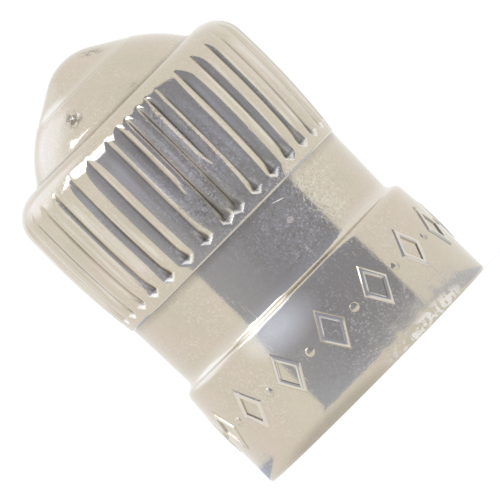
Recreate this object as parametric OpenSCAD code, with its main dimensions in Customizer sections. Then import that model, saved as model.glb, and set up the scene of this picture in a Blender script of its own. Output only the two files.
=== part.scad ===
// Tall metal dust cap for a tyre valve, standing on its open rim.
// Millimetres, +Z up, origin at the centre of the rim.
// The cap is one drawn wall. A threaded bush is pressed into its neck and holds a sealing ring.

/* [Skirt] */
// Diameter of the skirt, over its plain wall
skirt_d = 21.95; // [21.4:0.05:24]
// Height of the skirt, from the rim to the start of the step
skirt_h = 8.4; // [7.5:0.1:12]
// How much the skirt draws in towards its top, on the radius
skirt_draw = 0.12; // [0:0.02:0.2]
// Height of the drawn-in stretch at the skirt's top
draw_h = 2.0; // [1:0.1:3]
// Size of the break around the rim's outer edge
rim_break = 0.2; // [0.05:0.05:0.35]
// Height of the step between the skirt and the neck
step_h = 1.1; // [0.9:0.05:2]

/* [Neck] */
// How far the neck's lower end lies in from the skirt, on the radius
neck_inset = 0.9; // [0.6:0.05:1.2]
// How much wider the neck is at its upper end
neck_flare = 0.3; // [0:0.05:0.4]
// Height of the neck
neck_h = 5.35; // [4.6:0.05:9]

/* [Grip band] */
// How far the foot of the band stands out from the neck, on the radius
foot_step = 0.125; // [0.05:0.005:0.4]
// Height of the band with its shoulder, from the neck to the ledge
grip_h = 12.3; // [11:0.1:18]
// Height of the belly above the foot of the band
belly_h = 7.5; // [6:0.1:8.5]
// How far the belly stands proud of the foot of the band
belly_rise = 0.5; // [0.2:0.05:0.55]
// Radius of the rounded shoulder
shoulder_round = 2.35; // [1.5:0.05:2.8]
// Number of reeds around the band
reed_count = 34; // [30:1:40]
// Radius of the rounded back of one reed
reed_round = 1.65; // [1.25:0.05:1.8]

/* [Nose] */
// How far the nose lies in from the belly of the band, on the radius
nose_inset = 3.2; // [3.1:0.05:3.6]
// Radius of the concave foot of the nose
nose_foot_round = 0.5; // [0.2:0.05:0.6]
// Height of the domed lower stage of the nose
dome_h = 3.0; // [2.6:0.1:5]
// How far the dome bulges beyond a straight cone
dome_bulge = 0.2; // [0.1:0.05:0.4]
// Radius at the ring between the two stages, as a share of the nose's radius
ring_share = 0.634; // [0.58:0.002:0.72]
// Width of the small ring step
ring_step_w = 0.3; // [0.1:0.05:0.5]
// Height of the small ring step
ring_step_h = 0.15; // [0.05:0.05:0.3]
// Height of the upper cone with its rounded tip
cone_h = 2.05; // [1.8:0.05:3]
// Radius of the rounded tip, as a share of the cone's radius at its foot
tip_share = 0.923; // [0.5:0.001:0.95]

/* [Wall] */
// Thickness of the drawn wall
wall = 0.5; // [0.35:0.05:0.6]

/* [Border] */
// Number of open lozenges around the skirt
lozenge_count = 15; // [10:1:16]
// Height of one lozenge along the axis
lozenge_h = 4.0; // [3:0.1:4.6]
// Width of one lozenge around the skirt
lozenge_w = 2.5; // [2:0.1:2.7]
// Width of the raised line
line_w = 0.5; // [0.3:0.02:0.5]
// Height of the relief above the skirt
relief_h = 0.14; // [0.08:0.02:0.25]
// Height of the middle of the border above the rim
border_z = 4.9; // [4:0.1:5.6]
// Diameter of the beads between the lozenges
bead_d = 0.8; // [0.5:0.05:1]

/* [Threaded bush] */
// Major diameter of the valve stem's thread
thread_d = 12.24; // [11:0.02:12.6]
// Pitch of the thread, 26 turns to the inch
thread_pitch = 0.977; // [0.8:0.001:1.1]
// Clearance between the bush and the neck's bore, on the radius
bush_clear = 0.02; // [0.01:0.01:0.05]
// Height of the flange that is pressed into the neck
flange_h = 3.4; // [2:0.1:4.4]
// How far the flange lies above the start of the neck
flange_inset = 0.3; // [0.1:0.1:1]
// Wall of the hub outside the thread
hub_wall = 1.2; // [0.8:0.1:1.6]
// Height of the hub above the flange
hub_h = 6.0; // [5:0.1:7]
// Thickness of the lip at the top of the hub
lip_h = 0.9; // [0.6:0.1:1.4]
// Diameter of the hole in the lip, for the valve's pin
lip_hole_d = 7.0; // [6:0.1:7.6]
// Lead-in chamfer at the mouth of the thread
lead_in = 0.6; // [0.2:0.1:0.8]

/* [Sealing ring] */
// Thickness of the sealing ring
seal_h = 1.6; // [1:0.1:2]
// Diameter of the hole in the ring
seal_hole_d = 5.2; // [4.6:0.1:5.6]
// How far the ring's seat is cut behind the crests of the stem's thread
seat_relief = 0.1; // [0.05:0.05:0.3]
// Clearance around and below the ring in its seat
seal_clear = 0.08; // [0.04:0.02:0.2]

/* [Hidden] */
$fn = 96;

// Finishes
PLATE = "#cdc3b4";
BRASS = "#b08d4f";
RUBBER = "#26241f";

// Heights above the rim, stacked from the rim up
z_step = skirt_h;
z_neck = z_step + step_h;
z_grip = z_neck + neck_h;
z_ledge = z_grip + grip_h;
z_ring = z_ledge + dome_h;
z_cone = z_ring + ring_step_h;
z_tip = z_cone + cone_h;

// Radii
skirt_r = skirt_d / 2;
skirt_top_r = skirt_r - skirt_draw;
neck_r = skirt_r - neck_inset;
neck_top_r = neck_r + neck_flare / 2;
grip_r = neck_top_r + foot_step + belly_rise;
nose_r = grip_r - nose_inset;
ring_r = nose_r * ring_share;
cone_r = ring_r - ring_step_w;
tip_round = cone_r * tip_share;

// Radius of the convex half of the step
step_bend = (skirt_top_r - neck_r) * 0.75;

// The belly of the band is one long arc, tangent to the shoulder's arc
belly_round = (belly_h * belly_h + belly_rise * belly_rise) / (2 * belly_rise);
belly_z = z_grip + belly_h;
shoulder_z = z_ledge - shoulder_round;
belly_end = asin((shoulder_z - belly_z) / (belly_round - shoulder_round));
shoulder_r = grip_r - belly_round + (belly_round - shoulder_round) * cos(belly_end);

// The backs of the reeds are circles side by side, and each valley is where two of them meet.
// Their crests lie just outside the belly, so that the band's outline trims every back.
crest_trim = 0.02;
reed_pitch = 360 / reed_count;
reed_axis_r = grip_r + crest_trim - reed_round;
reed_side = reed_axis_r * sin(reed_pitch / 2);
valley_r = reed_axis_r * cos(reed_pitch / 2) + sqrt(pow(reed_round, 2) - pow(reed_side, 2));
// One valley lies this many degrees to the right of the -Y side
valley_turn = 1.3;

// Inside of the wall
skirt_bore_r = skirt_r - wall;
neck_bore_r = neck_r - wall;
grip_bore_r = valley_r - wall;
inner_shoulder = shoulder_round - wall;
inner_ledge_z = z_ledge - wall;

// Foot of the nose: a hollow arc from the ledge up to the slope at which the dome starts
dome_slope = 55;
foot_z = z_ledge + nose_foot_round * (1 - cos(dome_slope));
foot_r = nose_r + nose_foot_round * sin(dome_slope);

// Bush and sealing ring
bush_z = z_neck + flange_inset;
flange_r = neck_bore_r - bush_clear;
thread_depth = 0.54 * thread_pitch;
thread_bore_r = thread_d / 2 - thread_depth;
hub_r = thread_d / 2 + hub_wall;
hub_top = bush_z + flange_h + hub_h;
lip_z = hub_top - lip_h;
seat_r = thread_d / 2 + seat_relief;
seat_z = lip_z - seal_h - seal_clear;

// Border
lozenge_pitch = 360 / lozenge_count;

eps = 0.01;

// Points along an arc about [cr, cz] from angle a to angle b
function arc(cr, cz, radius, a, b, n = 8) =
    [for (i = [0 : n]) let (t = a + (b - a) * i / n) [cr + radius * cos(t), cz + radius * sin(t)]];

// Points along an S between two upright walls, from [r, z], inwards by drop and up by rise.
// bend is the radius of its lower, convex half.
function s_curve(r, z, drop, rise, bend) =
    let (
        sweep = 2 * atan(drop / rise),
        hollow = rise / sin(sweep) - bend
    )
    concat(
        arc(r - bend, z, bend, 0, sweep, 4),
        arc(r - drop + hollow, z + rise, hollow, 180 + sweep, 180, 4)
    );

// Points along an arc from p to q that stands out by bulge from the straight line between them
function bowed(p, q, bulge, n = 8) =
    let (
        chord = norm(q - p),
        radius = (chord * chord / 4 + bulge * bulge) / (2 * bulge),
        way = atan2(q[1] - p[1], q[0] - p[0]),
        half = asin(chord / 2 / radius),
        centre = (p + q) / 2 + (radius - bulge) * [cos(way + 90), sin(way + 90)]
    )
    arc(centre[0], centre[1], radius, way - 90 - half, way - 90 + half, n);

// Points of a cone from [r, z] that ends in a tip of the given radius, tangent to it, at height top
function rounded_tip(r, z, top, radius) =
    let (
        height = z - top + radius,
        reach = norm([r, height]),
        touch = atan2(height, r) + acos(radius / reach)
    )
    concat([[r, z]], arc(0, top - radius, radius, touch, 90, 6));

// The points without those that repeat the one before
function distinct(points) =
    [for (i = [0 : len(points) - 1])
        if (i == 0 || norm(points[i] - points[max(i - 1, 0)]) > eps) points[i]];

// Outside of the cap, from the rim's centre out, up and back to the axis, without the valleys
outline = distinct(concat(
    [[0, 0], [skirt_r - rim_break, 0], [skirt_r, rim_break], [skirt_r, z_step - draw_h]],
    s_curve(skirt_top_r, z_step, skirt_top_r - neck_r, step_h, step_bend),
    [[neck_top_r, z_grip]],
    arc(grip_r - belly_round, belly_z, belly_round, -asin(belly_h / belly_round), belly_end, 5),
    arc(shoulder_r, shoulder_z, shoulder_round, belly_end, 90, 6),
    arc(foot_r, z_ledge + nose_foot_round, nose_foot_round, 270, 270 - dome_slope, 3),
    bowed([nose_r, foot_z], [ring_r, z_ring], dome_bulge),
    rounded_tip(cone_r, z_cone, z_tip, tip_round)
));

// Hollow inside the wall, from below the rim up to the underside of the tip
hollow = distinct(concat(
    [[0, -1], [skirt_bore_r, -1]],
    s_curve(skirt_bore_r, z_step, skirt_bore_r - neck_bore_r, step_h, step_bend / 2),
    [[neck_bore_r, z_grip], [grip_bore_r, z_grip + wall]],
    arc(grip_bore_r - inner_shoulder, inner_ledge_z - inner_shoulder, inner_shoulder, 0, 90, 8),
    [[nose_r - wall, inner_ledge_z]],
    bowed([nose_r - wall, z_ledge], [ring_r - wall, z_ring - wall / 2], dome_bulge, 6),
    rounded_tip(cone_r - wall, z_cone - wall / 2, z_tip - wall, tip_round - wall)
));

// Cross section of the groove between two reeds
module groove_section() {
    half_w = grip_r * sin(reed_pitch / 2) - eps;
    difference() {
        translate([valley_r - eps, -half_w])
            square([grip_r - valley_r + 1, 2 * half_w]);
        for (side = [-1, 1])
            rotate(side * reed_pitch / 2)
                translate([reed_axis_r, 0])
                    circle(r = reed_round);
    }
}

// The grooves around the band. Each one runs out where the outline curves in below its valley.
module grooves() {
    for (i = [0 : reed_count - 1])
        rotate([0, 0, valley_turn - 90 + i * reed_pitch])
            translate([0, 0, z_grip])
                linear_extrude(grip_h + 1)
                    groove_section();
}

// One open lozenge with its long axis along the cap's axis, drawn flat
module lozenge() {
    long = lozenge_h / 2;
    short = lozenge_w / 2;
    // Width of the line along each axis, for one width across it
    side = norm([long, short]);
    difference() {
        polygon([[long, 0], [0, short], [-long, 0], [0, -short]]);
        polygon([
            [long - line_w * side / short, 0], [0, short - line_w * side / long],
            [line_w * side / short - long, 0], [0, line_w * side / long - short]
        ]);
    }
}

// The raised border, from inside the wall out to the height of the relief
module border() {
    root_r = skirt_r - wall / 2;
    intersection() {
        cylinder(r = skirt_r + relief_h, h = z_step);
        for (i = [0 : lozenge_count - 1])
            rotate([0, 0, i * lozenge_pitch - 90])
                translate([0, 0, border_z]) {
                    translate([root_r, 0, 0])
                        rotate([0, 90, 0])
                            linear_extrude(wall)
                                lozenge();
                    rotate([0, 0, lozenge_pitch / 2])
                        translate([root_r, 0, 0])
                            rotate([0, 90, 0])
                                cylinder(d = bead_d, h = wall, $fn = 24);
                }
    }
}

module shell() {
    color(PLATE)
        difference() {
            union() {
                rotate_extrude() polygon(outline);
                border();
            }
            grooves();
            rotate_extrude() polygon(hollow);
        }
}

module threaded_bushing() {
    color(BRASS)
        translate([0, 0, bush_z])
            difference() {
                union() {
                    cylinder(r = flange_r, h = flange_h);
                    cylinder(r = hub_r, h = flange_h + hub_h);
                }
                // Bore at the crests of the thread, up to the ring's seat
                translate([0, 0, -eps])
                    cylinder(r = thread_bore_r, h = seat_z - bush_z + eps);
                translate([0, 0, -eps])
                    cylinder(r1 = thread_bore_r + lead_in, r2 = thread_bore_r, h = lead_in);
                // Seat of the sealing ring, and the hole in the lip above it
                translate([0, 0, seat_z - bush_z])
                    cylinder(r = seat_r, h = lip_z - seat_z);
                cylinder(d = lip_hole_d, h = flange_h + hub_h + eps);
            }
}

module sealing_washer() {
    color(RUBBER)
        translate([0, 0, lip_z - seal_h])
            difference() {
                cylinder(r = seat_r - seal_clear, h = seal_h);
                translate([0, 0, -eps])
                    cylinder(d = seal_hole_d, h = seal_h + 2 * eps);
            }
}

shell();
threaded_bushing();
sealing_washer();
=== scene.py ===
# %% [markdown]
# # A tyre valve cap
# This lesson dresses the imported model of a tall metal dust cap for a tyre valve. The cap is drawn from one
# piece of sheet metal, reeded, stamped with a border and plated. A brass bush with the thread sits in its
# neck and holds a rubber sealing ring. It stands on its open rim, and -Y faces the camera.

# %% Load the frame
import math

import bmesh
import bpy
from mathutils import Matrix, Vector


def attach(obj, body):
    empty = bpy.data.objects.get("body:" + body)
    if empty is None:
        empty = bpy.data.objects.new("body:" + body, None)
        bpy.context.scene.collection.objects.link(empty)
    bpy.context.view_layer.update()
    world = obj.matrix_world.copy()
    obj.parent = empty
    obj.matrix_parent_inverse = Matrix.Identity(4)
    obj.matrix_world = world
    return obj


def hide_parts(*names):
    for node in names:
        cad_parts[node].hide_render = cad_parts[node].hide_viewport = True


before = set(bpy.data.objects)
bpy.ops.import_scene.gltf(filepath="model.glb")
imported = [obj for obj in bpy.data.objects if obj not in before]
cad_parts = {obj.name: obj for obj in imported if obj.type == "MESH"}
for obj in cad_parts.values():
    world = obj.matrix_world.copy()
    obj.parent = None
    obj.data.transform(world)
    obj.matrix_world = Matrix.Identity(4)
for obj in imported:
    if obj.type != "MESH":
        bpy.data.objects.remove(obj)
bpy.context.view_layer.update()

MM = 0.001

# %% [markdown]
# ## Sizes
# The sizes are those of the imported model, in millimetres, so that each piece lies where its solid lies.

# %% Sizes in millimetres
skirt_r, skirt_top_r, neck_r, neck_top_r = 10.975, 10.855, 10.075, 10.225
grip_r, nose_r, ring_r, cone_r = 10.85, 7.65, 4.85, 4.55
z_step, z_neck, z_grip, z_ledge, z_ring, z_cone, z_tip = 8.4, 9.5, 14.85, 27.15, 30.15, 30.3, 32.35
wall, rim_break, tip_round, nose_bulge = 0.5, 0.2, 4.2, 0.2
belly_h, belly_rise, shoulder_round = 7.5, 0.5, 2.35
draw_h, foot_round, foot_sink = 2.0, 0.22, 0.066
reed_count, reed_round, crest_trim, seam_turn = 33.5, 1.65, 0.02, 8.3
lozenge_count, lozenge_h, lozenge_w, line_w, border_z, bead_d = 15, 4.0, 2.5, 0.5, 4.9, 0.8
relief_h, relief_sink = 0.14, 0.03
print("wall of", wall, "mm, reeds:", reed_count, "pitches, lozenges:", lozenge_count)

# %% [markdown]
# ## Helpers for profiles
# A turned or drawn shape is one line that is swept around the axis. The line is made of arcs and straight
# stretches, each given as points of radius and height.


# %% Profile helpers
def arc(cr, cz, radius, a, b, n):
    """Points along an arc about (cr, cz), from angle a to angle b in degrees."""
    turns = [math.radians(a + (b - a) * i / n) for i in range(n + 1)]
    return [(cr + radius * math.cos(t), cz + radius * math.sin(t)) for t in turns]


def line(p, q, n):
    """Points along a straight stretch from p to q."""
    return [(p[0] + (q[0] - p[0]) * i / n, p[1] + (q[1] - p[1]) * i / n) for i in range(n + 1)]


def bowed(p, q, bulge, n):
    """Points along an arc from p to q that stands out by bulge from the straight line between them."""
    chord = math.dist(p, q)
    radius = (chord * chord / 4 + bulge * bulge) / (2 * bulge)
    way = math.degrees(math.atan2(q[1] - p[1], q[0] - p[0]))
    half = math.degrees(math.asin(chord / 2 / radius))
    up = math.radians(way + 90)
    cr = (p[0] + q[0]) / 2 + (radius - bulge) * math.cos(up)
    cz = (p[1] + q[1]) / 2 + (radius - bulge) * math.sin(up)
    return arc(cr, cz, radius, way - 90 - half, way - 90 + half, n)


def s_curve(r, z, drop, rise, bend, n):
    """Points along an S between two upright walls, inwards by drop and up by rise."""
    sweep = 2 * math.degrees(math.atan(drop / rise))
    hollow = rise / math.sin(math.radians(sweep)) - bend
    lower = arc(r - bend, z, bend, 0, sweep, n)
    return lower + arc(r - drop + hollow, z + rise, hollow, 180 + sweep, 180, n)


def rounded_tip(r, z, top, radius, straight, n):
    """Points of a cone from (r, z) that ends in a rounded tip, tangent to it, on the axis at height top."""
    height = z - top + radius
    reach = math.hypot(r, height)
    touch = math.degrees(math.atan2(height, r) + math.acos(radius / reach))
    tip = arc(0, top - radius, radius, touch, 90, n)
    return line((r, z), tip[0], straight) + tip[:-1] + [(0.0, top)]


def distinct(points):
    """The points without those that repeat the one before."""
    kept = [points[0]]
    for point in points[1:]:
        if math.dist(point, kept[-1]) > 0.004:
            kept.append(point)
    return kept


# %% [markdown]
# ## The drawn wall
# The real wall is a sheet that was drawn into a deep cup in several strokes, so it has one even thickness
# and every corner is a small round. The outline runs from the tip down the outside, under the rim and up
# the inside, and closes on the axis at both ends.

# %% Outline of the wall
belly_z = z_grip + belly_h
belly_round = (belly_h ** 2 + belly_rise ** 2) / (2 * belly_rise)
shoulder_z = z_ledge - shoulder_round
belly_end = math.degrees(math.asin((shoulder_z - belly_z) / (belly_round - shoulder_round)))
shoulder_r = grip_r - belly_round + (belly_round - shoulder_round) * math.cos(math.radians(belly_end))
dome_slope, nose_foot = 55, 0.5
foot_z = z_ledge + nose_foot * (1 - math.cos(math.radians(dome_slope)))
foot_r = nose_r + nose_foot * math.sin(math.radians(dome_slope))
belly_start = -math.degrees(math.asin(belly_h / belly_round))
foot_top = z_grip + foot_round
step_drop = skirt_top_r - neck_r

outside = (
    arc(skirt_r - rim_break, rim_break, rim_break, -90, 0, 5)
    + line((skirt_r, rim_break), (skirt_r, z_step - draw_h), 5)
    + [(skirt_r - (skirt_r - skirt_top_r) * (i / 6) ** 1.6, z_step - draw_h + draw_h * i / 6)
       for i in range(7)]
    + s_curve(skirt_top_r, z_step, step_drop, z_neck - z_step, step_drop * 0.75, 8)
    + line((neck_r, z_neck), (neck_top_r, z_grip), 8)
    + arc(neck_top_r - foot_sink, z_grip + foot_round, foot_round, -72.5, -7.5, 7)
    + arc(grip_r - belly_round, belly_z, belly_round, belly_start + 0.25, belly_start + 1.3, 11)
    + arc(grip_r - belly_round, belly_z, belly_round, belly_start + 1.3, 1.85, 12)
    + arc(grip_r - belly_round, belly_z, belly_round, 1.85, belly_end, 6)
    + arc(shoulder_r, shoulder_z, shoulder_round, belly_end, 90, 22)
    + arc(foot_r, z_ledge + nose_foot, nose_foot, 270, 270 - dome_slope, 5)
    + bowed((nose_r, foot_z), (ring_r, z_ring), nose_bulge, 26)
    + [(ring_r - 0.03, z_ring + 0.03), (ring_r - 0.09, z_ring + 0.05), (cone_r + 0.05, z_cone - 0.07)]
    + rounded_tip(cone_r, z_cone, z_tip, tip_round, 3, 12)
)
bore_r, bore_neck_r, bore_grip_r, bore_round = skirt_r - wall, neck_r - wall, 10.08, 1.85
inside = (
    [(bore_r + 0.04, 0.0), (bore_r, 0.04), (bore_r, 4.0), (bore_r, z_step)]
    + s_curve(bore_r, z_step, bore_r - bore_neck_r, z_neck - z_step, step_drop * 0.375, 4)
    + [(bore_neck_r, z_grip), (bore_grip_r, z_grip + wall), (bore_grip_r, 20.0)]
    + arc(bore_grip_r - bore_round, z_ledge - wall - bore_round, bore_round, 0, 90, 6)
    + [(nose_r - wall, z_ledge - wall)]
    + bowed((nose_r - wall, z_ledge), (ring_r - wall, z_ring - wall / 2), nose_bulge, 6)
    + rounded_tip(cone_r - wall, z_cone - wall / 2, z_tip - wall, tip_round - wall, 1, 5)
)
outside, inside = distinct(outside), distinct(inside)
outline = outside[::-1] + inside
print("points on the outline:", len(outside), "outside,", len(inside), "inside")

# %% [markdown]
# ## Spin and reeds
# The outline is spun about the axis in a whole number of steps to each reed. The reeds are then rolled in as
# the real ones are: each point of the grip band moves inwards to the back of its reed, a round of 1.65 mm.
# Below, each groove ends in a small pool and a scoop above the foot of the band. On the photographed cap the
# rolling wheel met its own start half a pitch out, a little to the right of the front, so two runs of grooves
# overlap at this seam. Each run ends with a deeper groove and one more that fades out half way down. A narrow
# reed is left between the two deeper ones.

# %% Back of one reed
reed_pitch = 360 / reed_count
reed_axis_r = grip_r + crest_trim - reed_round
fade_low, fade_high, last_gain = 18.2, 20.2, 1.3


def reed_back(turn):
    """Radius of the reeded surface at an angle in degrees, measured from a valley."""
    off = math.radians((turn % reed_pitch) - reed_pitch / 2)
    return reed_axis_r * math.cos(off) + math.sqrt(reed_round ** 2 - (reed_axis_r * math.sin(off)) ** 2)


def rolled(turn, z):
    """Radius of the reeded surface at an angle in degrees, measured from the seam, and at a height."""
    crest = reed_axis_r + reed_round
    after, before = reed_back(turn) - crest, reed_back(turn - reed_pitch / 2) - crest
    fading = last_gain * smooth_step(fade_low, fade_high, z)
    if turn < reed_pitch / 2:
        after *= last_gain if turn > -reed_pitch / 2 else fading if turn > -1.5 * reed_pitch else 0
    if turn > -reed_pitch:
        before *= last_gain if turn < 0 else fading if turn < reed_pitch else 0
    return crest + min(after, before)


def soft_min(a, b, k):
    """The smaller of a and b, with the corner between them rounded over k."""
    h = max(k - abs(a - b), 0) / k
    return min(a, b) - h * h * k / 4


def smooth_step(a, b, x):
    """0 at a and 1 at b, with a smooth run between them."""
    t = min(max((x - a) / (b - a), 0), 1)
    return t * t * (3 - 2 * t)


print("reed pitch", round(reed_pitch, 2), "deg, groove depth", round(grip_r - rolled(0, 20), 3), "mm")

# %% Spin the wall
STEPS = round(reed_count * 12)
shell_mesh = bmesh.new()
start = math.radians(seam_turn - 90)
row = [shell_mesh.verts.new((r * MM * math.cos(start), r * MM * math.sin(start), z * MM)) for r, z in outline]
edges = [shell_mesh.edges.new(pair) for pair in zip(row, row[1:])]
bmesh.ops.spin(shell_mesh, geom=row + edges, cent=(0, 0, 0), axis=(0, 0, 1), angle=math.tau, steps=STEPS,
               use_merge=True)
bmesh.ops.remove_doubles(shell_mesh, verts=shell_mesh.verts, dist=1e-7)
print("faces of the wall:", len(shell_mesh.faces))


# %% Spacing of the reeds
def slipped(turn):
    """How far the reeds left of the seam lie from an even pitch, in degrees, straight from knot to knot."""
    knots = ((-180, 0), (-100, -3.6), (-48, -3.6), (-16.1, -2.2),
             (-10.7, -0.6), (-5.4, -1.3), (0, 0), (180, 0))
    for (a, slip_a), (b, slip_b) in zip(knots, knots[1:]):
        if a <= turn <= b:
            return slip_a + (slip_b - slip_a) * (turn - a) / (b - a)
    return 0


print("the reed 48 deg left of the seam is moved by", slipped(-48), "deg")

# %% Roll the reeds in
pool_z, pool_foot, pool_reach, pool_depth = 16.05, 15.85, 0.4, 0.12
scoop_low, scoop_high, scoop, edge_round = 14.9, 16.0, 0.5, 0.03
# One value on each point for grime with painted shade, and one for wear with painted highlights
grime_and_shade = shell_mesh.verts.layers.float.new("grime_and_shade")
wear_and_highlight = shell_mesh.verts.layers.float.new("wear_and_highlight")
deepest = 0.0
for vert in shell_mesh.verts:
    r, z = vert.co.xy.length / MM, vert.co.z / MM
    turn = (math.degrees(math.atan2(vert.co.y, vert.co.x)) + 90 - seam_turn + 180) % 360 - 180
    vert.co.xy = Matrix.Rotation(math.radians(slipped(turn)), 2) @ vert.co.xy
    if not (z_grip - 0.01 < z < z_ledge + 0.001 and r > shoulder_r - 0.01 and r > bore_grip_r + 0.1):
        continue
    back = rolled(turn, z)
    pool = pool_depth * math.exp(-((z - pool_z) / pool_reach) ** 2) * smooth_step(0.02, 0.14, grip_r - back)
    back += scoop * smooth_step(scoop_high, scoop_low, z) - pool - (grip_r - r) * (1 if z < belly_z else 0.5)
    new_r = soft_min(r, back, edge_round)
    # The deepest part of each groove gets grime and painted shade; its pool and scoop get a painted highlight
    vert[grime_and_shade] = smooth_step(0.19, 0.255, r - new_r)
    vert[wear_and_highlight] = smooth_step(pool_z, pool_foot, z) * smooth_step(0.01, 0.03, r - new_r)
    deepest = max(deepest, r - new_r)
    vert.co.xy *= new_r / r
print("deepest groove", round(deepest, 3), "mm")

# %% [markdown]
# ## The stamped border
# The skirt carries a generic border of open lozenges with a bead between each two. On the real cap such a
# relief is pressed into the sheet, so its lines have a half-round section. One flat lozenge is made from
# four points: its edges are subdivided, its face is inset in thin rings, and the rings are raised to a
# half-round ridge and wrapped around the skirt.


# %% One lozenge
def wrapped(u, v, height, turn):
    """A point u mm around the skirt from an angle, at height v, standing height mm proud of the skirt."""
    angle = math.radians(turn) + u / skirt_r
    r = (skirt_r + height) * MM
    return Vector((r * math.cos(angle), r * math.sin(angle), v * MM))


def flat_lozenge():
    """A bmesh of one open lozenge in mm, its ridge raised along Z and its foot sunk into the skirt."""
    mesh = bmesh.new()
    half_w, half_h = lozenge_w / 2, lozenge_h / 2
    corners = [mesh.verts.new(p) for p in ((half_w, 0, 0), (0, half_h, 0), (-half_w, 0, 0), (0, -half_h, 0))]
    middle = mesh.faces.new(corners)
    rings = 6
    for i in range(rings):
        bmesh.ops.inset_individual(mesh, faces=[middle], thickness=line_w / rings, use_even_offset=True)
    bmesh.ops.delete(mesh, geom=[middle], context="FACES_ONLY")
    top = bmesh.ops.extrude_face_region(mesh, geom=mesh.faces[:], use_keep_orig=True)["geom"]
    top = [g for g in top if isinstance(g, bmesh.types.BMVert)]
    side = math.hypot(half_w, half_h)
    for vert in mesh.verts:
        vert.co.z = -relief_sink
    for vert in top:
        depth = (1 - abs(vert.co.x) / half_w - abs(vert.co.y) / half_h) * half_w * half_h / side
        across = min(max(2 * depth / line_w - 1, -1), 1)
        vert.co.z = relief_h * math.sqrt(1 - across * across)
    sides = [e for e in mesh.edges if e.calc_length() > 2 * line_w]
    bmesh.ops.subdivide_edges(mesh, edges=sides, cuts=5, use_grid_fill=True)
    return mesh


lozenge_mesh = flat_lozenge()
print("faces of one lozenge:", len(lozenge_mesh.faces))

# %% Place the border
for i in range(lozenge_count):
    turn = i * 360 / lozenge_count - 90
    made = {}
    for vert in lozenge_mesh.verts:
        made[vert] = shell_mesh.verts.new(wrapped(vert.co.x, vert.co.y + border_z, vert.co.z, turn))
        # The ridge tops get a painted highlight
        made[vert][wear_and_highlight] = 0.35 if vert.co.z > 0.05 else 0.0
    for face in lozenge_mesh.faces:
        shell_mesh.faces.new([made[v] for v in face.verts])
    bead = bmesh.ops.create_uvsphere(shell_mesh, u_segments=20, v_segments=12, radius=1.0)["verts"]
    for vert in bead:
        x, y = vert.co.xy * bead_d / 2
        height = vert.co.z * (relief_h + relief_sink) - relief_sink
        vert.co = wrapped(x, y + border_z, height, turn + 180 / lozenge_count)
lozenge_mesh.free()
bmesh.ops.recalc_face_normals(shell_mesh, faces=shell_mesh.faces)
print("faces with the border:", len(shell_mesh.faces))

# %% [markdown]
# ## Wear
# The photographed cap has one small dent on the front of its nose and a few nicks in its rim. They are moved
# into the mesh, because a mirror finish shows a dent by how it bends the reflection. Two values on each
# point tell the plate's material which edges are rubbed bright and carry a painted highlight, and where dirt
# has settled and shade is painted into the grooves and corners.

# %% Bright edges with painted highlights, and grimy corners with painted shade
# Bands of height in mm: low, high and amount for the bright ones, which are wear and painted highlight,
# middle, reach and amount for the grimy ones, which are grime and painted shade
bright = ((0.0, 0.15, 0.25), (8.42, 9.0, 0.1), (9.0, 9.5, 0.3), (z_grip, foot_top - 0.1, 0.6),
          (30.1, 30.32, 0.3))
grimy_and_shaded = ((9.55, 0.06, 0.2), (14.8, 0.08, 0.8), (27.22, 0.12, 0.4), (30.2, 0.08, 0.2))
for vert in shell_mesh.verts:
    x, y, z = vert.co / MM
    r = math.hypot(x, y)
    if r > bore_r + 0.1 or z > z_step:
        for low, high, amount in bright:
            if low <= z <= high and r > 0:
                vert[wear_and_highlight] = max(vert[wear_and_highlight], amount)
        for at, reach, amount in grimy_and_shaded:
            vert[grime_and_shade] = max(vert[grime_and_shade], amount * math.exp(-((z - at) / reach) ** 2))
print("bright points:", sum(v[wear_and_highlight] > 0.05 for v in shell_mesh.verts),
      "grimy points:", sum(v[grime_and_shade] > 0.05 for v in shell_mesh.verts))

# %% Dent and nicks
dent_x, dent_z, dent_w, dent_h, dent_depth = -2.3, 28.7, 0.75, 0.35, 0.2
# Nicks in the rim: angle from the front and half width in degrees, and depth in mm
nicks = ((8, 1.2, 0.05), (17, 1.0, 0.07), (29, 1.8, 0.05), (41, 1.3, 0.08), (-34, 1.4, 0.04))
nick_h = 0.35
for vert in shell_mesh.verts:
    x, y, z = vert.co / MM
    r = math.hypot(x, y)
    if y < 0 and z > z_ledge + 0.3 and r > 4.8:
        away = ((x - dent_x) / dent_w) ** 2 + ((z - dent_z) / dent_h) ** 2
        if away < 9:
            push = dent_depth * math.exp(-away) * (1 + 0.5 * math.sin(19 * x) * math.sin(23 * z))
            vert.co.xy *= 1 - push / r
    if z < 0.6 and r > skirt_r - 0.3:
        turn = math.degrees(math.atan2(x, -y))
        for at, width, depth in nicks:
            near = ((turn - at) / width) ** 2 + (z / nick_h) ** 2
            vert.co.xy *= 1 - depth * math.exp(-near) / r
print("nicks in the rim:", len(nicks), "dent:", dent_depth, "mm deep")

# %% [markdown]
# ## From mesh to object
# A bmesh is only a workshop. Its result is copied to a mesh that an object shows. Faces are shaded smooth,
# except across an edge that is bent by more than a chosen angle.


# %% Object helper
def placed(name, mesh, sharp_at=None):
    """The object that shows a bmesh, which is freed. Its faces are smooth but for edges bent by more than
    sharp_at degrees, or flat if sharp_at is left out."""
    for face in mesh.faces:
        face.smooth = sharp_at is not None
    data = bpy.data.meshes.new(name)
    mesh.to_mesh(data)
    mesh.free()
    if sharp_at is not None:
        data.set_sharp_from_angle(angle=math.radians(sharp_at))
    made = bpy.data.objects.new(name, data)
    bpy.context.collection.objects.link(made)
    return made


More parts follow.
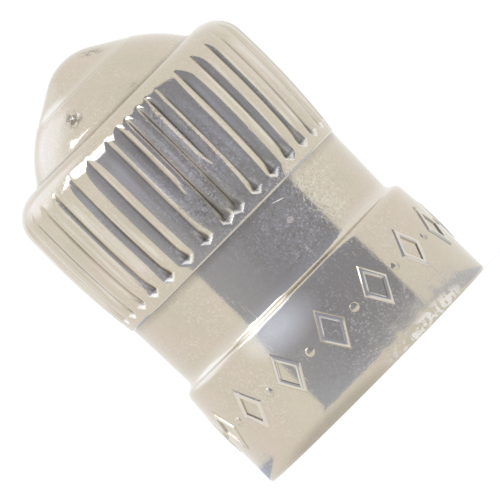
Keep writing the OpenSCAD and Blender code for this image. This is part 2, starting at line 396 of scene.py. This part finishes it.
# %% Shell object
for face in shell_mesh.faces:
    c = face.calc_center_median() / MM
    in_bore = math.hypot(c.x, c.y) < bore_r + 0.02 and face.normal.xy.dot(c.xy) < 0
    under_top = c.z > z_ledge - 1 and face.normal.z < -0.3
    face.material_index = 1 if in_bore or under_top else 0
shell = placed("cap_shell", shell_mesh, 30)
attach(shell, "root")
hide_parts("shell")
shell.data.calc_loop_triangles()
print("triangles of the shell:", len(shell.data.loop_triangles))

# %% [markdown]
# ## The threaded bush
# The bush is turned from brass bar: a flange that is pressed into the neck, and a hub with the thread. The
# bore is turned at the root of the thread, and the thread is one small ridge that is spun about the axis
# with a rise, as a tap leaves it.

# %% Bush
bush_z, flange_h, hub_h = 9.8, 3.4, 6.0
flange_r, hub_r, root_r, crest_r = 9.555, 7.32, 6.12, 5.592
seat_r, seat_z, lip_z, lip_hole_r = 6.22, 16.62, 18.3, 3.5
hub_top = bush_z + flange_h + hub_h


def turned(name, points):
    """A closed ring whose section is the given points, spun about the axis, with its normals outwards."""
    mesh = bmesh.new()
    loop = [mesh.verts.new((r * MM, 0, z * MM)) for r, z in points]
    sides = [mesh.edges.new((a, b)) for a, b in zip(loop, loop[1:] + loop[:1])]
    bmesh.ops.spin(mesh, geom=loop + sides, cent=(0, 0, 0), axis=(0, 0, 1), angle=math.tau, steps=192,
                   use_merge=True)
    bmesh.ops.remove_doubles(mesh, verts=mesh.verts, dist=1e-8)
    bmesh.ops.recalc_face_normals(mesh, faces=mesh.faces)
    print(name, "faces:", len(mesh.faces))
    return mesh


def broken(points, size):
    """The section with each of its corners broken by size."""
    out = []
    for i, p in enumerate(points):
        for q in (points[i - 1], points[(i + 1) % len(points)]):
            length = math.dist(p, q)
            out.append((p[0] + (q[0] - p[0]) * size / length, p[1] + (q[1] - p[1]) * size / length))
    return out


bush_section = broken([
    (root_r + 0.25, bush_z), (flange_r, bush_z), (flange_r, bush_z + flange_h), (hub_r, bush_z + flange_h),
    (hub_r, hub_top), (lip_hole_r, hub_top), (lip_hole_r, lip_z), (seat_r, lip_z), (seat_r, seat_z),
    (root_r, seat_z), (root_r, bush_z + 0.3),
], 0.08)
bush_mesh = turned("bush", bush_section)

# %% Thread
pitch, thread_steps, turns = 0.977, 96, 6.1
ridge = [(root_r + 0.03, -0.44), (root_r + 0.03, 0.44),
         (crest_r + 0.02, 0.08), (crest_r, 0.0), (crest_r + 0.02, -0.08)]
thread_z = bush_z + 0.5
ridge_verts = [bush_mesh.verts.new((r * MM, 0, (z + thread_z) * MM)) for r, z in ridge]
ridge_edges = [bush_mesh.edges.new((a, b)) for a, b in zip(ridge_verts, ridge_verts[1:] + ridge_verts[:1])]
plain_faces = set(bush_mesh.faces)
bmesh.ops.spin(bush_mesh, geom=ridge_verts + ridge_edges, cent=(0, 0, 0), axis=(0, 0, 1),
               angle=math.tau * turns, steps=int(thread_steps * turns),
               dvec=(0, 0, pitch * MM / thread_steps))
bmesh.ops.holes_fill(bush_mesh, edges=[e for e in bush_mesh.edges if e.is_boundary], sides=0)
ridge_faces = [f for f in bush_mesh.faces if f not in plain_faces]
bmesh.ops.recalc_face_normals(bush_mesh, faces=ridge_faces)
top_z = max(v.co.z for f in ridge_faces for v in f.verts) / MM
open_edges = sum(e.is_boundary for e in bush_mesh.edges)
print("thread from", thread_z, "to", round(top_z, 2), "mm, open edges:", open_edges)

# %% Bush object
bush = placed("turned_bush", bush_mesh, 30)
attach(bush, "root")
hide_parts("threaded_bushing")
print("bush from", bush_z, "to", round(hub_top, 2), "mm")

# %% [markdown]
# ## The sealing ring
# The ring is stamped or moulded rubber with slightly rounded edges. It sits in the undercut at the top of
# the bush's bore.

# %% Sealing ring
seal_r, seal_hole_r, seal_low, seal_top, seal_break = 6.14, 2.6, 16.70, 18.30, 0.12
ring_corners = [(seal_hole_r, seal_low), (seal_r, seal_low), (seal_r, seal_top), (seal_hole_r, seal_top)]
sealing_ring = placed("sealing_ring", turned("sealing ring", broken(ring_corners, seal_break)), 60)
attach(sealing_ring, "root")
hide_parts("sealing_washer")

# %% [markdown]
# ## Helpers for materials
# Colours are written as the sRGB hex values that a paint chart would give, and one function turns them to
# the linear values that Blender works in. Another adds a node with its settings and its links. On top of
# them stand a few that lay amounts over each other, as coats are laid on the real thing.


# %% Colours and nodes
def linear(code):
    """The linear RGBA of an sRGB hex colour."""
    parts = [int(code[i:i + 2], 16) / 255 for i in (1, 3, 5)]
    return tuple(c / 12.92 if c <= 0.04045 else ((c + 0.055) / 1.055) ** 2.4 for c in parts) + (1.0,)


def add(tree, kind, inputs=None, **settings):
    """Adds one node. Its inputs, by the socket's name or number, are numbers, colours, other nodes' outputs,
    or a node itself, which stands for its first output in use."""
    node = tree.nodes.new(kind)
    for name, value in settings.items():
        setattr(node, name, value)
    for key, value in (inputs or {}).items():
        if isinstance(value, bpy.types.Node):
            value = next(output for output in value.outputs if output.enabled)
        if isinstance(value, bpy.types.NodeSocket):
            tree.links.new(value, node.inputs[key])
        else:
            node.inputs[key].default_value = value
    return node


def blank(name):
    """A new material with an empty node tree, and the tree."""
    material = bpy.data.materials.new(name)
    material.use_nodes = True
    material.node_tree.nodes.clear()
    return material, material.node_tree


# %% Patterns and marks
def grain(mm):
    """The scale of a pattern whose features are that many millimetres wide."""
    return 1000 / mm


def uneven(tree, place, mm, low, high, least=0.0, most=1.0, detail=2.0, distortion=0.0):
    """An amount that varies in patches that many mm wide: least where a noise is under low, most where it is
    over high."""
    noise = add(tree, "ShaderNodeTexNoise", {
        "Vector": place, "Scale": grain(mm), "Detail": detail, "Distortion": distortion})
    return add(tree, "ShaderNodeMapRange", {0: noise, 1: low, 2: high, 3: least, 4: most})


def mark(tree, place, at, size, turn=0.0, soft=0.6, amount=1.0, times=1.0):
    """An amount in a soft-edged ellipsoid at a place in mm, with half sizes in mm, turned about Y. It is full
    up to soft of its reach, and multiplied by times, which may be another amount."""
    place = add(tree, "ShaderNodeVectorMath", {0: place, 1: [c * MM for c in at]}, operation="SUBTRACT")
    place = add(tree, "ShaderNodeVectorRotate", {"Vector": place, "Angle": math.radians(turn)},
                rotation_type="Y_AXIS")
    place = add(tree, "ShaderNodeVectorMath", {0: place, 1: [grain(s) for s in size]}, operation="MULTIPLY")
    reach = add(tree, "ShaderNodeVectorMath", {0: place}, operation="LENGTH")
    inside = add(tree, "ShaderNodeMapRange", {0: reach, 1: 1.0, 2: soft, 3: 0.0, 4: amount})
    return add(tree, "ShaderNodeMath", {0: inside, 1: times}, operation="MULTIPLY")


# %% Laying amounts over each other
def strongest(tree, amount, *others):
    """The largest of several amounts at each point."""
    for other in others:
        amount = add(tree, "ShaderNodeMath", {0: amount, 1: other}, operation="MAXIMUM")
    return amount


def summed(tree, base, *parts):
    """A base value plus each part, given as an amount and what it adds where it is full."""
    for amount, gain in parts:
        base = add(tree, "ShaderNodeMath", {0: amount, 1: gain, 2: base}, operation="MULTIPLY_ADD")
    return base


def denser(tree, amount, base, where, gain):
    """An amount times a base value, and times gain more where another amount is full."""
    share = summed(tree, base, (where, gain))
    return add(tree, "ShaderNodeMath", {0: amount, 1: share}, operation="MULTIPLY")


def layered(tree, colour, *coats):
    """A linear colour under coats of others, each given as its amount and its colour."""
    for amount, coat in coats:
        colour = add(tree, "ShaderNodeMix", {0: amount, 6: colour, 7: coat}, data_type="RGBA")
    return colour


def relief(tree, *heights):
    """The bumped normal of several heights, each given with its depth in mm, below 0 where it is cut in."""
    under = {}
    for height, depth in heights:
        bump = add(tree, "ShaderNodeBump", {
            "Height": height, "Strength": 1.0, "Distance": abs(depth) * MM, **under}, invert=depth < 0)
        under = {"Normal": bump}
    return bump


# %% [markdown]
# ## Bright nickel plate
# The drawn sheet is nickel plated and buffed. Nickel is a warm grey metal, a little yellower than chromium,
# and age gives it a thin uneven film. It mirrors its surroundings almost sharply. What breaks the mirror is
# fine: a frost of pits about a tenth of a millimetre wide, denser where fingers hold the cap, and a few
# longer scratches. The pits are drawn about twice as wide as they are, so that they show.

# %% Film, frost and scratches
plate, tree = blank("nickel_plate_buffed")
spot = add(tree, "ShaderNodeTexCoord").outputs["Object"]
film = add(tree, "ShaderNodeTexNoise", {
    "Vector": spot, "Scale": grain(4.0), "Detail": 2.5, "Roughness": 0.55})
tone = add(tree, "ShaderNodeMapRange", {0: film, 1: 0.35, 2: 0.7})
tints = uneven(tree, spot, 5.0, 0.4, 0.62, detail=1.5, distortion=1.0)
held = strongest(tree, mark(tree, spot, at=(4.0, -9.2, 13.0), size=(6.0, 6.0, 5.5), soft=0.3),
                 mark(tree, spot, at=(1.8, -10.4, 21.0), size=(4.6, 3.0, 6.5), soft=0.3))
patch = uneven(tree, spot, 4.5, 0.42, 0.66, least=0.15, most=0.65, detail=3.0)
frost = denser(tree, uneven(tree, spot, 0.2, 0.52, 0.7), patch, held, 0.5)
pits = denser(tree, uneven(tree, spot, 0.16, 0.6, 0.66, most=0.7, detail=1.0), 0.05, held, 0.5)
aslant = add(tree, "ShaderNodeMapping", {
    "Vector": spot, "Rotation": (0.2, 0.5, 0.3), "Scale": (1.0, 1.0, 0.05)})
scratch = uneven(tree, aslant, 0.25, 0.68, 0.74)
print("patterns of the plate:", len(tree.nodes), "nodes")

# %% [markdown]
# ## Marks of use
# The photographed cap has its own marks, and each is laid where it is in the photograph: haze on the skirt, a
# scratch and a small bruise on the neck, scuffs and dust along the rim, and on the nose a dent with torn
# plate and a painted dark reflection, a painted highlight streak at its foot and a smudge near the tip. The
# grip band shows faint draw lines and a grainy patch. A mark is a soft-edged ellipsoid that cuts the
# surface, which needs no picture and no unwrapping.

# %% Marks on the plate
# Grime with painted shade, and worn edges with painted highlights, as the mesh carries them
grime_and_shade_laid = add(tree, "ShaderNodeAttribute", attribute_name="grime_and_shade").outputs["Fac"]
edges_worn_and_highlit = add(tree, "ShaderNodeAttribute", attribute_name="wear_and_highlight").outputs["Fac"]
ragged = add(tree, "ShaderNodeTexNoise", {"Vector": spot, "Scale": grain(0.45), "Detail": 4.0})
torn = add(tree, "ShaderNodeMapRange", {0: ragged, 1: 0.45, 2: 0.53})
mottle = add(tree, "ShaderNodeMapRange", {0: ragged, 1: 0.42, 2: 0.64, 4: 0.3})
mottle = denser(tree, mottle, 0.1, held, 0.9)
# The rubbed edges and the painted highlights are also matt
rubbed_and_highlit = add(tree, "ShaderNodeMapRange", {0: edges_worn_and_highlit, 1: 0.7, 2: 0.95, 4: 0.9})
haze = mark(tree, spot, at=(-2.7, -10.6, 7.9), size=(4.0, 3.0, 2.2), turn=-8, soft=0.2)
scratched = mark(tree, spot, at=(3.85, -9.45, 14.2), size=(0.65, 0.6, 0.05), turn=-19)
bruise = mark(tree, spot, at=(3.5, -9.6, 12.6), size=(0.34, 0.6, 0.26), turn=-10, soft=0.8, amount=0.35)
# A painted highlight at the foot of the nose
highlight_streak = mark(tree, spot, at=(-2.8, -7.2, 27.55), size=(0.9, 1.2, 0.07))
scuffs = mark(tree, spot, at=(5.6, -9.6, 0.4), size=(5.6, 5.0, 0.8), soft=0.5, times=torn)
dented = mark(tree, spot, at=(-2.4, -5.95, 28.8), size=(1.0, 1.4, 0.8), turn=-50, soft=0.4)
# Dark speckles painted in the dent stand for the dark surroundings it reflects, among the torn plate
dent_dirt_and_shade = denser(tree, torn, 0.0, dented, 0.75)
dusty = mark(tree, spot, at=(-4.5, -9.5, 0.0), size=(7.5, 6.0, 1.1), soft=0.5, amount=0.3)
smudge = mark(tree, spot, at=(1.98, -1.95, 31.3), size=(1.2, 1.6, 0.3), turn=-31, soft=0.3,
              amount=0.6, times=torn)
along = add(tree, "ShaderNodeMapping", {"Vector": spot, "Scale": (1.0, 1.0, 0.05)})
drawn = uneven(tree, along, 0.5, 0.45, 0.65, most=0.4)
drawn = mark(tree, spot, at=(0.0, 0.0, 21.0), size=(14.0, 14.0, 6.5), soft=0.9, times=drawn)
grainy = add(tree, "ShaderNodeMapRange", {0: film, 1: 0.5, 2: 0.6, 4: 0.6})
grainy = mark(tree, spot, at=(0.8, -10.6, 21.0), size=(4.5, 4.0, 6.0), soft=0.5, times=grainy)
grainy = denser(tree, uneven(tree, spot, 0.22, 0.5, 0.56, detail=1.0), 0.0, grainy, 1.0)
print("with the marks:", len(tree.nodes), "nodes")

# %% [markdown]
# ## The plate put together
# Edges that hands rub and frosted places are whiter, and the whiter edges, groove ends, ridge tops and the
# streak on the nose are painted highlights as well. Grime in the grooves and corners is brown and dull, and
# is painted shade there as well; the dark speckles in the dent are a painted reflection. Bare and bruised
# metal and the foot of each groove scatter the light. The relief is a slow wave left by the drawing, with the
# scratches and the frost cut in, and the crumpled plate of the dent.

# %% Nickel plate
# Grime, pits, dust and smudges, with painted shade in the grooves and corners and a painted dark reflection
# in the dent
dirt_and_shade = strongest(tree, denser(tree, grime_and_shade_laid, 0.4, tone, 0.5), smudge, dent_dirt_and_shade, pits, grainy, dusty)
bare_and_highlit = strongest(tree, scratched, bruise, scuffs, highlight_streak)
# Wear, frost and draw lines are whiter, and so are the painted highlights on edges, groove ends and ridge
# tops
worn_and_highlit = strongest(tree, edges_worn_and_highlit, bare_and_highlit, haze, summed(tree, strongest(tree, mottle, drawn), (frost, 0.45)))
matt_marks = strongest(tree, bare_and_highlit, rubbed_and_highlit, summed(tree, 0.0, (haze, 0.22)))
colour = layered(tree, linear("#d0c7b4"), (tints, linear("#d2c5b6")), (tone, linear("#ccc3b1")),
                 (worn_and_highlit, linear("#f6f3ec")), (dirt_and_shade, linear("#6f675f")))
rough = summed(tree, 0.07, (tone, 0.05), (frost, 0.3), (scratch, 0.25), (dirt_and_shade, 0.25), (matt_marks, 0.5))
wave = add(tree, "ShaderNodeTexNoise", {"Vector": spot, "Scale": grain(1.6), "Detail": 2.0})
crumpled = denser(tree, ragged, 0.0, dented, 1.0)
normal = relief(tree, (wave, 0.012), (scratch, -0.003), (frost, -0.004), (crumpled, 0.09))
metal = summed(tree, 1.0, (matt_marks, -0.8))
nickel = add(tree, "ShaderNodeBsdfPrincipled", {
    "Base Color": colour, "Metallic": metal, "Roughness": rough, "Normal": normal})
add(tree, "ShaderNodeOutputMaterial", {"Surface": nickel})
print(plate.name, "has", len(tree.nodes), "nodes")

# %% [markdown]
# ## Inside of the plate
# The inside takes a thin, dull plate, because a buffing wheel doesn't reach it. It is greyer and scatters
# the light, with faint draw marks along the axis.

# %% Dull plate
dull, tree = blank("nickel_plate_unbuffed")
spot = add(tree, "ShaderNodeTexCoord").outputs["Object"]
along = add(tree, "ShaderNodeMapping", {"Vector": spot, "Scale": (1.0, 1.0, 0.08)})
draw_marks = add(tree, "ShaderNodeTexNoise", {"Vector": along, "Scale": grain(0.3), "Detail": 3.0})
stain = add(tree, "ShaderNodeTexNoise", {"Vector": spot, "Scale": grain(3.0), "Detail": 5.0})
inner = add(tree, "ShaderNodeBsdfPrincipled", {
    "Base Color": layered(tree, linear("#b9b4ab"), (stain, linear("#9c958a"))), "Metallic": 1.0,
    "Roughness": summed(tree, 0.28, (draw_marks, 0.25)), "Normal": relief(tree, (draw_marks, 0.01))})
add(tree, "ShaderNodeOutputMaterial", {"Surface": inner})
shell.data.materials.append(plate)
shell.data.materials.append(dull)
print("materials of the shell:", [m.name for m in shell.data.materials])

# %% [markdown]
# ## Turned brass
# A lathe leaves fine rings around the axis. The pattern is read from the radius and the height only, so the
# rings lie on the faces and on the walls alike.

# %% Brass
brass, tree = blank("brass_turned")
spot = add(tree, "ShaderNodeTexCoord").outputs["Object"]
parts = add(tree, "ShaderNodeSeparateXYZ", {0: spot})
flat = add(tree, "ShaderNodeCombineXYZ", {0: parts.outputs[0], 1: parts.outputs[1]})
radius = add(tree, "ShaderNodeVectorMath", {0: flat}, operation="LENGTH")
lathe = add(tree, "ShaderNodeCombineXYZ", {0: radius, 2: parts.outputs[2]})
rings = add(tree, "ShaderNodeTexNoise", {"Vector": lathe, "Scale": grain(0.12), "Detail": 2.0})
stain = add(tree, "ShaderNodeTexNoise", {"Vector": spot, "Scale": grain(2.0), "Detail": 4.0})
turned_brass = add(tree, "ShaderNodeBsdfPrincipled", {
    "Base Color": layered(tree, linear("#c3a262"), (stain, linear("#8f6f3a"))), "Metallic": 1.0,
    "Roughness": summed(tree, 0.18, (stain, 0.25)), "Normal": relief(tree, (rings, 0.01))})
add(tree, "ShaderNodeOutputMaterial", {"Surface": turned_brass})
bush.data.materials.append(brass)
print("material of the bush:", brass.name)

# %% [markdown]
# ## Moulded rubber
# The ring is nitrile rubber with carbon black: matt, with a faint grain and a dusty bloom.

# %% Rubber
rubber, tree = blank("nitrile_rubber_moulded")
spot = add(tree, "ShaderNodeTexCoord").outputs["Object"]
bloom = add(tree, "ShaderNodeTexNoise", {"Vector": spot, "Scale": grain(1.2), "Detail": 5.0})
skin = add(tree, "ShaderNodeTexNoise", {"Vector": spot, "Scale": grain(0.1), "Detail": 2.0})
moulded = add(tree, "ShaderNodeBsdfPrincipled", {
    "Base Color": layered(tree, linear("#1f1e1c"), (bloom, linear("#35322e"))),
    "Roughness": summed(tree, 0.5, (bloom, 0.3)), "Normal": relief(tree, (skin, 0.01))})
add(tree, "ShaderNodeOutputMaterial", {"Surface": moulded})
sealing_ring.data.materials.append(rubber)
print("material of the ring:", rubber.name)

# %% [markdown]
# ## Floor
# The floor is plain and pale. The camera and the metal see it almost as bright as the white surroundings,
# and it keeps the cap's shadow.

# %% Floor
floor_r = 4000
floor_mesh = bmesh.new()
bmesh.ops.create_circle(floor_mesh, cap_ends=True, segments=64, radius=floor_r * MM)
floor = placed("floor", floor_mesh)
paper, tree = blank("paper_matt_white")
spot = add(tree, "ShaderNodeTexCoord").outputs["Object"]
fibre = add(tree, "ShaderNodeTexNoise", {"Vector": spot, "Scale": grain(1.5), "Detail": 3.0})
tint = layered(tree, linear("#eeeeee"), (fibre, linear("#f1f1f1")))
matt = add(tree, "ShaderNodeBsdfDiffuse", {"Color": tint})
ray = add(tree, "ShaderNodeLightPath").outputs
level = add(tree, "ShaderNodeMapRange", {0: ray["Is Glossy Ray"], 3: 1.3, 4: 1.1})
glow = add(tree, "ShaderNodeEmission", {"Color": (1, 1, 1, 1), "Strength": level})
seen = strongest(tree, ray["Is Camera Ray"], ray["Is Glossy Ray"], ray["Is Transmission Ray"])
surface = add(tree, "ShaderNodeMixShader", {0: summed(tree, 0.0, (seen, 0.5)), 1: matt, 2: glow})
add(tree, "ShaderNodeOutputMaterial", {"Surface": surface})
floor.data.materials.append(paper)
print("floor of", floor_r, "mm radius, material", paper.name)

# %% [markdown]
# ## Cards
# A mirror finish shows what stands around it. In the photograph a dim room stands in front of the cap, so a
# grey card curves around its front, and flat grey cards lie on the floor before it, beside it and behind it.
# Two small bright cards, high at the left front, are windows whose light shows on the shoulder. Only
# reflections see the cards, so they take no light off the cap and cast no shadow.


# %% Card helpers
def only_reflected(made, material):
    """Lets only reflections see a card and gives it its material."""
    made.visible_camera = made.visible_diffuse = made.visible_shadow = made.visible_transmission = False
    made.data.materials.append(material)


def swept_card(name, a, b, start, end):
    """A card swept about the axis from azimuth a to b, in degrees from the camera's side towards +X. The
    swept line runs from start to end, each a radius and a height in mm."""
    mesh = bmesh.new()
    at = math.radians(a - 90)
    ends = [mesh.verts.new((r * MM * math.cos(at), r * MM * math.sin(at), z * MM)) for r, z in (start, end)]
    bmesh.ops.spin(mesh, geom=ends + [mesh.edges.new(ends)], cent=(0, 0, 0), axis=(0, 0, 1),
                   angle=math.radians(b - a), steps=64)
    return placed(name, mesh)


# %% Grey cards
dim, tree = blank("card_dim")
spot = add(tree, "ShaderNodeTexCoord").outputs["Object"]
parts = add(tree, "ShaderNodeSeparateXYZ", {0: spot}).outputs
front = add(tree, "ShaderNodeMath", {0: parts[1], 1: -1.0}, operation="MULTIPLY")
angle = add(tree, "ShaderNodeMath", {0: parts[0], 1: front}, operation="ARCTAN2")
right = add(tree, "ShaderNodeMapRange", {0: angle, 1: math.radians(-40), 2: math.radians(4)})
far_right = add(tree, "ShaderNodeMapRange", {0: angle, 1: math.radians(5), 2: math.radians(45)})
cloud = add(tree, "ShaderNodeTexNoise", {"Vector": spot, "Scale": grain(25), "Detail": 2.0})
low = add(tree, "ShaderNodeMapRange", {0: parts[2], 1: 0.95 * MM, 2: 1.15 * MM, 3: 1.0, 4: 0.0})
# Linear levels of light: the room from left to right with its darker clouds, and the paler floor
room_left, room_right, room_cloud = (0.56, 0.60, 0.74, 1), (0.39, 0.415, 0.52, 1), (0.32, 0.34, 0.41, 1)
floor_left, floor_right = (0.55, 0.61, 0.77, 1), (0.72, 0.78, 0.9, 1)
room = layered(tree, room_left, (right, room_right), (summed(tree, 0.0, (cloud, 0.35)), room_cloud))
colour = layered(tree, room, (low, layered(tree, floor_left, (far_right, floor_right))))
add(tree, "ShaderNodeOutputMaterial", {
    "Surface": add(tree, "ShaderNodeEmission", {"Color": colour, "Strength": 1.0})})
for name, a, b, start, end in (
    ("front_card", -43, 61, (60, 0.02), (60, 130)),
    ("near_card", -43, 61, (30, 0.05), (58, 0.05)),
    ("side_card", 61, 106, (11.4, 0.05), (58, 0.05)),
    ("rear_card", 182, 250, (11.4, 0.05), (60, 0.05)),
):
    only_reflected(swept_card(name, a, b, start, end), dim)
    print(name, "from", a, "to", b, "deg")

# %% Window cards
pane, tree = blank("card_bright")
add(tree, "ShaderNodeOutputMaterial", {
    "Surface": add(tree, "ShaderNodeEmission", {"Color": (0.9, 0.97, 1.12, 1), "Strength": 2.4})})
window_at, window_half = Vector((-20.8, -36.4, 63.0)) * MM, 13 * MM
shoulder_spot = Vector((-2.2, -10, 25.8)) * MM
facing = (shoulder_spot - window_at).to_track_quat("Z", "Y").to_matrix().to_4x4()
place = Matrix.Translation(window_at) @ facing @ Matrix.Diagonal((window_half, window_half, 1, 1))
for name, turn in (("window_card", 0), ("window_card_left", -33)):
    mesh = bmesh.new()
    bmesh.ops.create_grid(mesh, x_segments=1, y_segments=1, size=1.0)
    bmesh.ops.transform(mesh, verts=mesh.verts, matrix=Matrix.Rotation(math.radians(turn), 4, "Z") @ place)
    only_reflected(placed(name, mesh), pane)
    print(name, "turned by", turn, "deg about the cap's axis")

# %% [markdown]
# ## Light
# White surroundings light the cap evenly at a plain level. One soft lamp above the left front gives the
# shoulder and the step their white lines. The metal sees the surroundings at the upper left behind it a
# little brighter, as it does in the photograph.

# %% World and lamp
world = bpy.data.worlds.new("surroundings")
bpy.context.scene.world = world
world.use_nodes = True
tree = world.node_tree
tree.nodes.clear()
way = add(tree, "ShaderNodeTexCoord").outputs["Generated"]
parts = add(tree, "ShaderNodeSeparateXYZ", {0: way}).outputs
lift = add(tree, "ShaderNodeLightPath").outputs["Is Glossy Ray"]
# Where the brighter part starts and where it is full, along X, Y and Z of the direction that is looked in
for axis, start, full in ((0, -0.24, -0.38), (1, 0.05, 0.4), (2, 0.25, 0.45)):
    share = add(tree, "ShaderNodeMapRange", {0: parts[axis], 1: start, 2: full})
    lift = add(tree, "ShaderNodeMath", {0: lift, 1: share}, operation="MULTIPLY")
tint = layered(tree, (1, 1, 1, 1), (lift, (1.3, 1.38, 1.54, 1)))
sky = add(tree, "ShaderNodeBackground", {"Color": tint, "Strength": 1.0})
add(tree, "ShaderNodeOutputWorld", {"Surface": sky})
lamp_data = bpy.data.lights.new("soft_lamp", "AREA")
lamp_data.shape = "DISK"
lamp_data.size = 0.09
lamp_data.energy = 0.035
lamp = bpy.data.objects.new("soft_lamp", lamp_data)
lamp.location = (-0.11, -0.12, 0.16)
lamp.rotation_euler = (Vector((0, 0, 0.02)) - lamp.location).to_track_quat("-Z", "Y").to_euler()
bpy.context.collection.objects.link(lamp)
print("lamp of", round(lamp_data.energy, 3), "W,", round(lamp_data.size / MM), "mm across")

# %% [markdown]
# ## Camera
# The photograph looks at the cap from the side, almost level, with the cap's axis at 45 degrees in the
# frame. A long lens from 1 m away gives the same nearly parallel view.

# %% Camera
lean = math.radians(45.3)
up_way = Vector((math.sin(lean), 0, math.cos(lean)))
tilt = math.radians(0.6)
back_way = Vector((0, -math.cos(tilt), math.sin(tilt)))
up_way = (up_way - back_way * up_way.dot(back_way)).normalized()
right_way = up_way.cross(back_way)
aim = Vector((0.10, 0, 13.23)) * MM
camera_away = 1.011
camera_data = bpy.data.cameras.new("camera")
camera_data.lens, camera_data.sensor_width = 1000, 36
camera_data.clip_start, camera_data.clip_end = 0.01, 20
camera = bpy.data.objects.new("camera", camera_data)
camera.matrix_world = Matrix.Translation(aim + back_way * camera_away) @ Matrix(
    (right_way, up_way, back_way)).transposed().to_4x4()
bpy.context.collection.objects.link(camera)
bpy.context.scene.camera = camera
print("camera", camera_away, "m away with a lens of", camera_data.lens, "mm")

# %% Finish
scene = bpy.context.scene
scene.view_settings.view_transform = "Standard"
